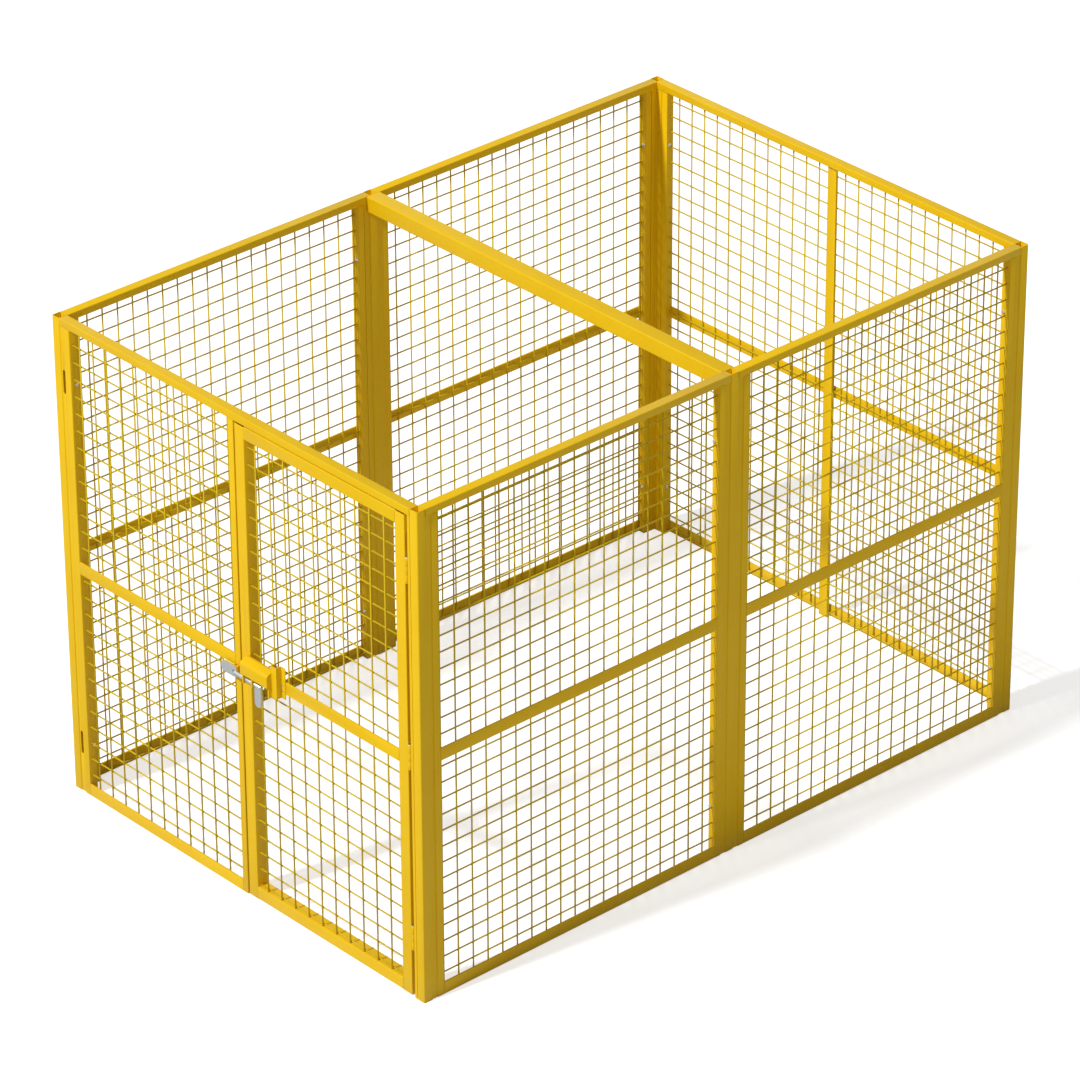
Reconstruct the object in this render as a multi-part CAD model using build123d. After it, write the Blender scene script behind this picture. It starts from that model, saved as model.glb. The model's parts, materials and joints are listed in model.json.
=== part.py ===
from build123d import *
import os

# Wire mesh partition with a door: a free-standing rectangular enclosure of welded mesh panels
# between square posts, open at the top.  Millimetres, +Z up, the floor at z = 0.
# The door is in the short wall that faces -Y.  The origin is on the floor at the middle of the
# whole partition, with the latch's reach in front of the door wall counted in.

# ---- overall size -----------------------------------------------------------------------------
WIDTH = 2000.0              # along X, over the corner posts
LENGTH = 3000.0             # along Y, over the corner posts
HEIGHT = 2000.0             # floor to the top of the posts

CORNER = 1.5                # outer corner radius of every tube, in its wall thicknesses

# ---- posts ------------------------------------------------------------------------------------
POST = 40.0                 # square tube
POST_WALL = 3.0
CAP_THICK = 3.0
CAP_SINK = 35.0             # cap plate's top below the post's rim
CAP_FIT = 0.15              # each side, between the cap plate and the tube's bore

# ---- pair of strips that close the gap between a post and a panel --------------------------------
STRIP_WIDTH = 24.0
STRIP_THICK = 5.0
STRIP_SET_BACK = 3.0        # behind the outer and the inner face of the post
SLOT_WIDTH = 14.0
SLOT_LENGTH = 100.0
LOW_SLOT = 215.0            # floor to the middle of the lower slot
HIGH_SLOT = 257.0           # post's top to the middle of the upper slot

# ---- panel frames -----------------------------------------------------------------------------
STILE_FACE = 30.0
STILE_DEPTH = 36.0
STILE_WALL = 2.0
RAIL_FACE = 30.0            # top rails
RAIL_DEPTH = 40.0
RAIL_WALL = 2.0
BAR_FACE = 50.0             # flat mid and bottom rails, flush with the outer face
BAR_THICK = 6.0
MID_BAR_HEIGHT = 1000.0     # centre height on the long walls and the back
FRONT_BAR_HEIGHT = 985.0    # centre height on the door wall
CENTRE_BAR_FACE = 45.0      # upright flat bar in the middle of the back wall
CENTRE_BAR_THICK = 10.0     # lies on the inner side of the mesh

# ---- welded mesh ------------------------------------------------------------------------------
WIRE = 6.0                  # diameter
WIRE_LAYER_GAP = 0.05       # between the upright and the level wires, and the flat bars
WIRE_FLOOR_GAP = 10.0       # from the floor to the lower ends of the upright wires
LONG_FIRST_WIRE = 6.0       # long walls and back: from the frame's edge to the first upright wire
LONG_PITCH = 70.5           # between upright wires
LONG_PITCH_Z = 66.0         # between level wires
DOOR_FIRST_WIRE = 50.0      # the same on the door wall and the door
DOOR_PITCH = 76.5
DOOR_PITCH_Z = 70.0
LOWEST_WIRE = 6.0           # from the mesh's lower end to the lowest level wire

# ---- overhead beam ----------------------------------------------------------------------------
BEAM_WIDTH = 65.0
BEAM_HEIGHT = 65.0
BEAM_WALL = 3.0
SPIGOT_LENGTH = 60.0
SPIGOT_WALL = 3.0
SPIGOT_FIT = 0.3            # each side, inside the beam

# ---- door -------------------------------------------------------------------------------------
DOOR_TUBE = 50.0            # square tube of the leaf's frame
DOOR_WALL = 2.0
DOOR_LEAF_WIDTH = 906.0
DOOR_FLOOR_GAP = 5.0
DOOR_HEAD_GAP = 5.0
DOOR_LATCH_GAP = 7.0

# ---- hinges -----------------------------------------------------------------------------------
PACKER_FACE = 12.0          # flat bar on the corner post that carries the hinges
HINGE_GAP = 15.0            # between the packer and the leaf
HINGE_INSET = 250.0         # floor to the lowest hinge's middle, and top to the highest's
HINGE_LENGTH = 100.0
BARREL_CLEAR = 1.0          # each side of the barrel, in the gap
HINGE_PIN = 7.0             # diameter
HINGE_PIN_FIT = 0.05        # radial
HINGE_LEAF_THICK = 2.5
HINGE_LEAF_INSET = 3.0      # from the leaf's back edge to the packer's
HINGE_AXIS_DEPTH = 3.0      # pin axis behind the outer face
KNUCKLE_GAP = 0.4           # between two knuckles, and behind the barrel
PIN_HEAD_THICK = 2.5

# ---- latch ------------------------------------------------------------------------------------
LATCH_DROP = 35.0           # bolt axis below the middle of the door's mid rail
BOLT_ROD = 18.0             # diameter
BOLT_STAND_OFF = 23.0       # bolt axis in front of the outer face
BOLT_FIT = 0.1              # radial, in the hood's cheeks
BOLT_TRAVEL = 50.0
TIP_HEIGHT = 44.0           # flattened end
TIP_THICK = 8.0
TIP_PAST_JAMB = 56.0        # how far the tip reaches past the jamb stile
TIP_LAP = 6.0               # length of rod forged into the tip
HANDLE_INSET = 50.0         # from the outer cheek to the handle
HANDLE_WIDTH = 34.0
HANDLE_THICK = 8.0
HANDLE_DROP = 88.0          # from the bolt axis down to the handle's end
TAIL = 2.0                  # rod past the handle
LOCK_HOLE = 13.0            # diameter, for a padlock, in the tip and the keeper
KEEPER_THICK = 3.0
KEEPER_INSET = 1.0          # keeper's upper and lower ends inside the tip's
KEEPER_GAP = 0.4            # between the keeper and the tip
HOOD_THICK = 3.0
HOOD_FRONT_GAP = 10.0       # from the rod to the inside of the lip
HOOD_TOP = 100.0            # back edge of the top above the bolt axis
HOOD_SLOPE = 22.0           # fall of the top from back to front
LIP_CLEAR = 21.0            # lower end of the lip above the rod, so that the rod stays in view
FLANGE_CLEAR = 11.0         # lower end of the back flange above the rod
HOOD_BEND = 12.0            # radius at the middle of the sheet
TAB_INSET = 8.0             # from the leaf's edge to the tab that the hood is screwed by
CHEEK_THICK = 6.0
CHEEK_MARGIN = 5.0          # cheek beyond the rod, below and in front
CHEEK_GAP = 1.0             # between a cheek or the end plate and what stops against it
BRACKET_WEB = 30.0          # hat section that carries the hood's end on the door's mid rail
BRACKET_DEPTH = 25.0
BRACKET_FLANGE = 22.0
BRACKET_THICK = 3.0
BRACKET_DROP = 10.0         # lower end below the bolt axis
BRACKET_HEIGHT = 128.0
SCREW = 5.0
SCREW_FIT = 0.2             # radial
SCREW_HEAD = 9.0
SCREW_HEAD_THICK = 2.5
SCREW_SHORT = 0.5           # screw's end inside the far side of what it bites

# ---- clamp bolts through the stiles into the posts ---------------------------------------------
CLAMP = 8.0                 # thread diameter
CLAMP_HOLE_FIT = 0.5        # radial, in the tubes
CLAMP_HEAD = 13.0           # across flats
CLAMP_HEAD_THICK = 5.3
CLAMP_REACH = 6.0           # past the post's wall
CLAMP_CLEAR = 0.4           # from the mesh and the strips to the bolt's head and sleeve
SPACER = 13.0               # outer diameter of the sleeve in the gap
SPACER_FIT = 0.3            # radial, around the bolt

# ---- places that follow from the sizes ---------------------------------------------------------
HOOD_DEPTH = BOLT_STAND_OFF + BOLT_ROD / 2 + HOOD_FRONT_GAP + HOOD_THICK    # stands furthest out
LEFT = -WIDTH / 2
RIGHT = WIDTH / 2
FRONT = -(LENGTH - HOOD_DEPTH) / 2
BACK = FRONT + LENGTH
SLOT_HEIGHTS = (LOW_SLOT, HEIGHT - HIGH_SLOT)
HINGE_HEIGHTS = (HINGE_INSET, HEIGHT / 2, HEIGHT - HINGE_INSET)
HEADER_BOTTOM = HEIGHT - RAIL_FACE
MESH_BACK = BAR_THICK + 2 * (WIRE + WIRE_LAYER_GAP)     # inner side of the mesh, from the outer face
STRIP_BACK = STRIP_SET_BACK + STRIP_THICK
CLAMP_DEPTH = max(MESH_BACK + CLAMP_HEAD / 2, STRIP_BACK + SPACER / 2) + CLAMP_CLEAR
INNER_STRIP = max(POST - STRIP_BACK, CLAMP_DEPTH + SPACER / 2 + CLAMP_CLEAR)    # outer side of it

# Places along a wall, from its outer corner on the left as seen from outside on the door wall.
PANEL_EDGE = POST + STRIP_WIDTH
HALF_WALL_EDGE = LENGTH / 2 - POST / 2 - STRIP_WIDTH
HINGE_EDGE = WIDTH - POST - PACKER_FACE - HINGE_GAP
HINGE_AXIS = HINGE_EDGE + HINGE_GAP / 2
LATCH_EDGE = HINGE_EDGE - DOOR_LEAF_WIDTH
JAMB_EDGE = LATCH_EDGE - DOOR_LATCH_GAP
JAMB_START = JAMB_EDGE - STILE_FACE
LOCK_PLACE = JAMB_START + STILE_FACE / 2
TIP_END = JAMB_START - TIP_PAST_JAMB
OUTER_CHEEK = JAMB_EDGE + BOLT_TRAVEL + CHEEK_GAP        # the tip's inner end is at the jamb's edge
HANDLE_START = OUTER_CHEEK + CHEEK_THICK + HANDLE_INSET
MIDDLE_CHEEK = HANDLE_START - CHEEK_GAP - CHEEK_THICK
ROD_END = HANDLE_START + HANDLE_WIDTH + TAIL
END_PLATE = ROD_END + BOLT_TRAVEL + CHEEK_GAP
TAB_START = LATCH_EDGE + TAB_INSET
HOOD_END = END_PLATE + CHEEK_THICK

DOOR_TOP = HEADER_BOTTOM - DOOR_HEAD_GAP
HINGE_BARREL = HINGE_GAP - 2 * BARREL_CLEAR             # diameter
KNUCKLE = (HINGE_LENGTH - 2 * KNUCKLE_GAP) / 3          # height of one knuckle
LATCH_HEIGHT = FRONT_BAR_HEIGHT - LATCH_DROP
BOLT_Y = -BOLT_STAND_OFF
BOLT_BACK = BOLT_Y + BOLT_ROD / 2                       # side of the rod and tip towards the door
FLANGE_END = LATCH_HEIGHT + BOLT_ROD / 2 + FLANGE_CLEAR
LIP_END = LATCH_HEIGHT + BOLT_ROD / 2 + LIP_CLEAR


def block(x0, x1, y0, y1, z0, z1):
    return Pos((x0 + x1) / 2, (y0 + y1) / 2, (z0 + z1) / 2) * Box(x1 - x0, y1 - y0, z1 - z0)


def rod(centre, axis, length, diameter):
    """Cylinder of the given length that starts at centre and runs along axis."""
    return extrude(Plane(origin=centre, z_dir=axis) * Circle(diameter / 2), amount=length)


def tube_section(width, height, wall):
    outer = RectangleRounded(width, height, CORNER * wall)
    return outer - RectangleRounded(width - 2 * wall, height - 2 * wall, (CORNER - 1) * wall)


def tube_up(x0, x1, y0, y1, z0, z1, wall):
    plane = Plane(origin=((x0 + x1) / 2, (y0 + y1) / 2, z0))
    return extrude(plane * tube_section(x1 - x0, y1 - y0, wall), amount=z1 - z0)


def tube_x(x0, x1, y0, y1, z0, z1, wall):
    plane = Plane(origin=(x0, (y0 + y1) / 2, (z0 + z1) / 2), x_dir=(0, 1, 0), z_dir=(1, 0, 0))
    return extrude(plane * tube_section(y1 - y0, z1 - z0, wall), amount=x1 - x0)


# A wall is described in its own frame: u runs along the wall from one outer corner, y runs inwards
# from the outer face and z is the height.
WALL_FRAMES = {
    "front": Plane(origin=(LEFT, FRONT, 0), x_dir=(1, 0, 0), z_dir=(0, 0, 1)),
    "right": Plane(origin=(RIGHT, FRONT, 0), x_dir=(0, 1, 0), z_dir=(0, 0, 1)),
    "back": Plane(origin=(RIGHT, BACK, 0), x_dir=(-1, 0, 0), z_dir=(0, 0, 1)),
    "left": Plane(origin=(LEFT, BACK, 0), x_dir=(0, -1, 0), z_dir=(0, 0, 1)),
}


def on_wall(wall, shape):
    """Move a shape made along +X, inwards along +Y, onto the named wall."""
    return WALL_FRAMES[wall].location * shape


def write(name, shapes):
    shapes = shapes if isinstance(shapes, list) else [shapes]
    solids = [solid for shape in shapes for solid in shape.solids()]
    export_step(solids[0] if len(solids) == 1 else Compound(children=solids), f"parts/{name}.step")


# ---- posts ------------------------------------------------------------------------------------
def slot(u, z):
    """Round-ended slot through an outer strip, with its middle at u and z in a wall's frame."""
    end = SLOT_LENGTH / 2 - SLOT_WIDTH / 2
    y0 = STRIP_SET_BACK
    shape = block(u - SLOT_WIDTH / 2, u + SLOT_WIDTH / 2, y0, STRIP_BACK, z - end, z + end)
    for z_end in (z - end, z + end):
        shape += rod((u, y0, z_end), (0, 1, 0), STRIP_THICK, SLOT_WIDTH)
    return shape


def strips(u0, slotted):
    """Outer and inner strip in a wall's frame, starting at u0, under the wall's top rail."""
    u1 = u0 + STRIP_WIDTH
    outer = block(u0, u1, STRIP_SET_BACK, STRIP_BACK, 0, HEADER_BOTTOM)
    if slotted:
        for z in SLOT_HEIGHTS:
            outer -= slot(u0 + STRIP_WIDTH / 2, z)
    return outer, block(u0, u1, INNER_STRIP, INNER_STRIP + STRIP_THICK, 0, HEADER_BOTTOM)


def clamp_holes(u0, u1):
    """Drills for the two clamp bolts that cross u0 to u1, in a wall's frame."""
    diameter = CLAMP + 2 * CLAMP_HOLE_FIT
    return [rod((u0, CLAMP_DEPTH, z), (1, 0, 0), u1 - u0, diameter) for z in SLOT_HEIGHTS]


def wall_length(wall):
    return WIDTH if wall in ("front", "back") else LENGTH


def post_start(wall, place):
    """Where a post begins along its wall: the wall's start, middle or end."""
    length = wall_length(wall)
    return {"start": 0.0, "middle": length / 2 - POST / 2, "end": length - POST}[place]


# Each panel edge that is clamped to a post: wall, post, and the side of the post it is on.
CLAMPED_SIDES = [("front", "start", 1)]
for long_wall in ("right", "left"):
    CLAMPED_SIDES += [(long_wall, "start", 1), (long_wall, "middle", -1)]
    CLAMPED_SIDES += [(long_wall, "middle", 1), (long_wall, "end", -1)]
CLAMPED_SIDES += [("back", "start", 1), ("back", "end", -1)]

# The four corners and the two mid posts, as the wall places that each one stands in.
POSTS = {
    "post_front_left": [("front", "start"), ("left", "end")],
    "post_front_right": [("right", "start"), ("front", "end")],
    "post_back_right": [("back", "start"), ("right", "end")],
    "post_back_left": [("left", "start"), ("back", "end")],
    "post_mid_right": [("right", "middle")],
    "post_mid_left": [("left", "middle")],
}


def post_shape(places):
    wall, place = places[0]
    u0 = post_start(wall, place)
    body = on_wall(wall, tube_up(u0, u0 + POST, 0, POST, 0, HEIGHT, POST_WALL))
    for wall, place, side in CLAMPED_SIDES:
        if (wall, place) not in places:
            continue
        u0 = post_start(wall, place)
        edge = u0 + POST if side > 0 else u0
        for strip in strips(edge if side > 0 else edge - STRIP_WIDTH, wall == "front"):
            body += on_wall(wall, strip)
        inside = edge - side * POST_WALL
        for hole in clamp_holes(min(edge, inside), max(edge, inside)):
            body -= on_wall(wall, hole)
    return body


def cap_shape(places):
    wall, place = places[0]
    size = POST - 2 * (POST_WALL + CAP_FIT)
    section = RectangleRounded(size, size, (CORNER - 1) * POST_WALL)
    low = (post_start(wall, place) + POST / 2, POST / 2, HEIGHT - CAP_SINK - CAP_THICK)
    return on_wall(wall, extrude(Plane(origin=low) * section, amount=CAP_THICK))


# ---- panels -----------------------------------------------------------------------------------
def stile_shape(u0, clamped):
    """Upright tube of a panel, with the clamp bolts' holes if it is clamped to a post."""
    tube = tube_up(u0, u0 + STILE_FACE, 0, STILE_DEPTH, 0, HEADER_BOTTOM, STILE_WALL)
    if clamped:
        for hole in clamp_holes(u0, u0 + STILE_FACE):
            tube -= hole
    return tube


def top_rail_shape(u0, u1):
    return tube_x(u0, u1, 0, RAIL_DEPTH, HEADER_BOTTOM, HEIGHT, RAIL_WALL)


def flat_bar_shape(u0, u1, z_centre):
    return block(u0, u1, 0, BAR_THICK, z_centre - BAR_FACE / 2, z_centre + BAR_FACE / 2)


def stations(first, end, pitch):
    """Wire places one pitch apart, from the first one to the last that clears the end."""
    count = int((end - WIRE / 2 - first) // pitch) + 1
    return [first + i * pitch for i in range(count)]


def mesh_shape(u0, u1, z0, z1, first, pitch, pitch_z):
    """Sheet of welded mesh: upright wires from z0 to z1, level wires behind them from u0 to u1."""
    upright_y = BAR_THICK + WIRE_LAYER_GAP + WIRE / 2
    level_y = upright_y + WIRE + WIRE_LAYER_GAP
    uprights = stations(u0 + first, u1, pitch)
    levels = stations(z0 + LOWEST_WIRE, z1, pitch_z)
    wires = [rod((u, upright_y, z0), (0, 0, 1), z1 - z0, WIRE) for u in uprights]
    wires += [rod((u0, level_y, z), (1, 0, 0), u1 - u0, WIRE) for z in levels]
    return wires


def write_panel(name, wall, u0, u1, bar_height, mesh, far_clamped=True):
    """One fixed panel from u0 to u1 along a wall, clamped to a post at u0 and mostly at u1."""
    stiles = [stile_shape(u0, True), stile_shape(u1 - STILE_FACE, far_clamped)]
    in0 = u0 + STILE_FACE
    in1 = u1 - STILE_FACE
    write(f"{name}_stiles", [on_wall(wall, stile) for stile in stiles])
    write(f"{name}_mid_rail", on_wall(wall, flat_bar_shape(in0, in1, bar_height)))
    write(f"{name}_bottom_rail", on_wall(wall, flat_bar_shape(in0, in1, BAR_FACE / 2)))
    wires = mesh_shape(in0, in1, WIRE_FLOOR_GAP, HEADER_BOTTOM, *mesh)
    write(f"{name}_mesh", [on_wall(wall, wire) for wire in wires])


LONG_MESH = (LONG_FIRST_WIRE, LONG_PITCH, LONG_PITCH_Z)
DOOR_MESH = (DOOR_FIRST_WIRE, DOOR_PITCH, DOOR_PITCH_Z)


def write_long_walls():
    spans = ((PANEL_EDGE, HALF_WALL_EDGE), (LENGTH - HALF_WALL_EDGE, LENGTH - PANEL_EDGE))
    for wall, ends in (("right", ("front", "back")), ("left", ("back", "front"))):
        for end, (u0, u1) in zip(ends, spans):
            name = f"{wall}_{end}"
            write_panel(name, wall, u0, u1, MID_BAR_HEIGHT, LONG_MESH)
            write(f"{name}_top_rail", on_wall(wall, top_rail_shape(u0 - STRIP_WIDTH, u1 + STRIP_WIDTH)))


def write_back_wall():
    u0 = PANEL_EDGE
    u1 = WIDTH - PANEL_EDGE
    write_panel("back", "back", u0, u1, MID_BAR_HEIGHT, LONG_MESH)
    write("back_top_rail", on_wall("back", top_rail_shape(POST, WIDTH - POST)))
    half = CENTRE_BAR_FACE / 2
    inner = MESH_BACK + WIRE_LAYER_GAP
    bar = block(WIDTH / 2 - half, WIDTH / 2 + half, inner, inner + CENTRE_BAR_THICK, 0, HEADER_BOTTOM)
    write("back_centre_bar", on_wall("back", bar))


def write_front_wall():
    write_panel("front", "front", PANEL_EDGE, JAMB_EDGE, FRONT_BAR_HEIGHT, DOOR_MESH, False)
    write("front_header", on_wall("front", top_rail_shape(POST, WIDTH - POST)))
    packer = block(WIDTH - POST - PACKER_FACE, WIDTH - POST, 0, POST, 0, HEADER_BOTTOM)
    write("hinge_packer", on_wall("front", packer))


# ---- clamp bolts and their sleeves --------------------------------------------------------------
def clamp_bolt(edge, side, z):
    """Bolt from the mesh side of a stile, across the gap and into the post's wall at edge."""
    stile_far = edge + side * (STRIP_WIDTH + STILE_FACE)
    tip = edge - side * (POST_WALL + CLAMP_REACH)
    shank = rod((min(stile_far, tip), CLAMP_DEPTH, z), (1, 0, 0), abs(stile_far - tip), CLAMP)
    plane = Plane(origin=(stile_far, CLAMP_DEPTH, z), x_dir=(0, 0, 1), z_dir=(side, 0, 0))
    hexagon = plane * RegularPolygon(CLAMP_HEAD / 2, 6, major_radius=False)
    return shank + extrude(hexagon, amount=CLAMP_HEAD_THICK)


def spacer_sleeve(edge, side, z):
    start = min(edge, edge + side * STRIP_WIDTH)
    outer = rod((start, CLAMP_DEPTH, z), (1, 0, 0), STRIP_WIDTH, SPACER)
    return outer - rod((start, CLAMP_DEPTH, z), (1, 0, 0), STRIP_WIDTH, CLAMP + 2 * SPACER_FIT)


def write_clamps():
    bolts = []
    sleeves = []
    for wall, place, side in CLAMPED_SIDES:
        edge = post_start(wall, place) + (POST if side > 0 else 0)
        for z in SLOT_HEIGHTS:
            bolts.append(on_wall(wall, clamp_bolt(edge, side, z)))
            sleeves.append(on_wall(wall, spacer_sleeve(edge, side, z)))
    write("clamp_bolts", bolts)
    write("clamp_sleeves", sleeves)


# ---- overhead beam ----------------------------------------------------------------------------
def write_beam():
    y0 = FRONT + LENGTH / 2 - BEAM_WIDTH / 2
    y1 = y0 + BEAM_WIDTH
    z0 = HEIGHT - BEAM_HEIGHT
    write("overhead_beam", tube_x(LEFT + POST, RIGHT - POST, y0, y1, z0, HEIGHT, BEAM_WALL))
    margin = BEAM_WALL + SPIGOT_FIT
    spigots = []
    for x0 in (LEFT + POST, RIGHT - POST - SPIGOT_LENGTH):
        x1 = x0 + SPIGOT_LENGTH
        spigots.append(tube_x(x0, x1, y0 + margin, y1 - margin, z0 + margin, HEIGHT - margin, SPIGOT_WALL))
    write("beam_spigots", spigots)


# ---- door leaf --------------------------------------------------------------------------------
def write_door():
    in0 = LATCH_EDGE + DOOR_TUBE
    in1 = HINGE_EDGE - DOOR_TUBE
    low = DOOR_FLOOR_GAP
    latch_stile = tube_up(LATCH_EDGE, in0, 0, DOOR_TUBE, low, DOOR_TOP, DOOR_WALL)
    for u, z in hood_screw_places():
        latch_stile -= rod((u, 0, z), (0, 1, 0), DOOR_WALL, SCREW + 2 * SCREW_FIT)
    hinge_stile = tube_up(in1, HINGE_EDGE, 0, DOOR_TUBE, low, DOOR_TOP, DOOR_WALL)
    mid_rail = flat_bar_shape(in0, in1, FRONT_BAR_HEIGHT)
    for u, z in bracket_screw_places():
        mid_rail -= rod((u, 0, z), (0, 1, 0), BAR_THICK, SCREW + 2 * SCREW_FIT)
    bottom_rail = tube_x(in0, in1, 0, DOOR_TUBE, low, low + DOOR_TUBE, DOOR_WALL)
    top_rail = tube_x(in0, in1, 0, DOOR_TUBE, DOOR_TOP - DOOR_TUBE, DOOR_TOP, DOOR_WALL)
    write("door_latch_stile", on_wall("front", latch_stile))
    write("door_hinge_stile", on_wall("front", hinge_stile))
    write("door_bottom_rail", on_wall("front", bottom_rail))
    write("door_top_rail", on_wall("front", top_rail))
    write("door_mid_rail", on_wall("front", mid_rail))
    wires = mesh_shape(in0, in1, low + DOOR_TUBE, DOOR_TOP - DOOR_TUBE, *DOOR_MESH)
    write("door_mesh", [on_wall("front", wire) for wire in wires])


# ---- hinges -----------------------------------------------------------------------------------
def knuckle(z0):
    hole = rod((HINGE_AXIS, HINGE_AXIS_DEPTH, z0), (0, 0, 1), KNUCKLE, HINGE_PIN + 2 * HINGE_PIN_FIT)
    return rod((HINGE_AXIS, HINGE_AXIS_DEPTH, z0), (0, 0, 1), KNUCKLE, HINGE_BARREL) - hole


def leaf_block(side, y0, y1, z0, z1):
    """Flat piece against the tube on one side of the gap; side is -1 at the door, +1 at the post."""
    outer = HINGE_AXIS + side * HINGE_GAP / 2
    inner = outer - side * HINGE_LEAF_THICK
    return block(min(outer, inner), max(outer, inner), y0, y1, z0, z1)


def hinge_leaf(side, z0, knuckle_places):
    """Plate behind the barrel, with a tongue to each of its own knuckles."""
    plate_start = HINGE_AXIS_DEPTH + HINGE_BARREL / 2 + KNUCKLE_GAP
    leaf = leaf_block(side, plate_start, POST - HINGE_LEAF_INSET, z0, z0 + HINGE_LENGTH)
    for z in knuckle_places:
        leaf += leaf_block(side, HINGE_AXIS_DEPTH, plate_start, z, z + KNUCKLE)
        leaf += knuckle(z)
    return leaf


def write_hinges():
    post_leaves = []
    door_leaves = []
    pins = []
    step = KNUCKLE + KNUCKLE_GAP
    for height in HINGE_HEIGHTS:
        z0 = height - HINGE_LENGTH / 2
        post_leaf = hinge_leaf(1, z0, (z0, z0 + 2 * step))
        door_leaf = hinge_leaf(-1, z0, (z0 + step,))
        pin = rod((HINGE_AXIS, HINGE_AXIS_DEPTH, z0), (0, 0, 1), HINGE_LENGTH, HINGE_PIN)
        pin_head = (HINGE_AXIS, HINGE_AXIS_DEPTH, z0 + HINGE_LENGTH)
        pin += rod(pin_head, (0, 0, 1), PIN_HEAD_THICK, HINGE_BARREL)
        post_leaves.append(on_wall("front", post_leaf))
        door_leaves.append(on_wall("front", door_leaf))
        pins.append(on_wall("front", pin))
    write("hinge_post_leaves", post_leaves)
    write("hinge_door_leaves", door_leaves)
    write("hinge_pins", pins)


# ---- latch ------------------------------------------------------------------------------------
def hood_screw_places():
    u = (TAB_START + OUTER_CHEEK) / 2
    height = LATCH_HEIGHT + HOOD_TOP - FLANGE_END
    return [(u, FLANGE_END + height * share) for share in (0.2, 0.6)]


def bracket_screw_places():
    u = HOOD_END + BRACKET_WEB + BRACKET_FLANGE / 2
    return [(u, FRONT_BAR_HEIGHT + offset) for offset in (-BAR_FACE / 4, BAR_FACE / 4)]


def hood_shape():
    """Folded sheet over the bolt with its screw tab, two cheeks that the bolt slides in, and an end
    plate that the bolt stops at. The outer cheek and the end plate close the fold's ends."""
    half = HOOD_THICK / 2
    top = LATCH_HEIGHT + HOOD_TOP - half
    front = -HOOD_DEPTH + half
    fold = FilletPolyline(
        (-half, FLANGE_END),
        (-half, top),
        (front, top - HOOD_SLOPE),
        (front, LIP_END),
        radius=HOOD_BEND,
    )
    sheet = Plane.YZ * trace(fold, HOOD_THICK)
    hood = Pos(OUTER_CHEEK, 0, 0) * extrude(sheet, amount=HOOD_END - OUTER_CHEEK)
    closed = Plane.YZ * make_face(fold + Line(fold @ 1, fold @ 0))
    cheek_front = BOLT_Y - BOLT_ROD / 2 - CHEEK_MARGIN
    cheek_low = LATCH_HEIGHT - BOLT_ROD / 2 - CHEEK_MARGIN
    for u in (OUTER_CHEEK, END_PLATE):
        hood += Pos(u, 0, 0) * extrude(closed, amount=CHEEK_THICK)
    for u in (OUTER_CHEEK, MIDDLE_CHEEK, END_PLATE):
        hood += block(u, u + CHEEK_THICK, cheek_front, 0, cheek_low, LIP_END)
    for u in (OUTER_CHEEK, MIDDLE_CHEEK):
        hood -= rod((u, BOLT_Y, LATCH_HEIGHT), (1, 0, 0), CHEEK_THICK, BOLT_ROD + 2 * BOLT_FIT)
    tab_top = LATCH_HEIGHT + HOOD_TOP - HOOD_BEND
    hood += block(TAB_START, OUTER_CHEEK + CHEEK_THICK, -HOOD_THICK, 0, FLANGE_END, tab_top)
    for u, z in hood_screw_places():
        hood -= rod((u, -HOOD_THICK, z), (0, 1, 0), HOOD_THICK, SCREW + 2 * SCREW_FIT)
    return hood


def bracket_shape():
    """Hat section beside the hood's end plate, screwed to the door's mid rail."""
    z0 = LATCH_HEIGHT - BRACKET_DROP
    z1 = z0 + BRACKET_HEIGHT
    u0 = HOOD_END
    u1 = u0 + BRACKET_WEB
    inside = BRACKET_THICK - BRACKET_DEPTH
    bracket = block(u0, u1, -BRACKET_DEPTH, 0, z0, z1)
    bracket -= block(u0 + BRACKET_THICK, u1 - BRACKET_THICK, inside, 0, z0, z1)
    bracket += block(u1 - BRACKET_THICK, u1 + BRACKET_FLANGE, -BRACKET_THICK, 0, z0, z1)
    for u, z in bracket_screw_places():
        bracket -= rod((u, -BRACKET_THICK, z), (0, 1, 0), BRACKET_THICK, SCREW + 2 * SCREW_FIT)
    return bracket


def bolt_shape():
    """Round rod with a flattened, eyed tip and a flat handle that hangs from it."""
    rod_start = JAMB_EDGE - TIP_LAP
    bolt = rod((rod_start, BOLT_Y, LATCH_HEIGHT), (1, 0, 0), ROD_END - rod_start, BOLT_ROD)
    half = TIP_HEIGHT / 2
    nose = TIP_END + half
    tip_front = BOLT_BACK - TIP_THICK
    bolt += block(nose, JAMB_EDGE, tip_front, BOLT_BACK, LATCH_HEIGHT - half, LATCH_HEIGHT + half)
    bolt += rod((nose, tip_front, LATCH_HEIGHT), (0, 1, 0), TIP_THICK, TIP_HEIGHT)
    bolt -= rod((LOCK_PLACE, -HOOD_DEPTH, LATCH_HEIGHT), (0, 1, 0), HOOD_DEPTH, LOCK_HOLE)
    handle_front = BOLT_Y - HANDLE_THICK / 2
    handle_back = BOLT_Y + HANDLE_THICK / 2
    handle_middle = HANDLE_START + HANDLE_WIDTH / 2
    handle_round = LATCH_HEIGHT - HANDLE_DROP + HANDLE_WIDTH / 2
    handle_end = HANDLE_START + HANDLE_WIDTH
    bolt += block(HANDLE_START, handle_end, handle_front, handle_back, handle_round, LATCH_HEIGHT)
    bolt += rod((handle_middle, handle_front, handle_round), (0, 1, 0), HANDLE_THICK, HANDLE_WIDTH)
    return bolt


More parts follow.
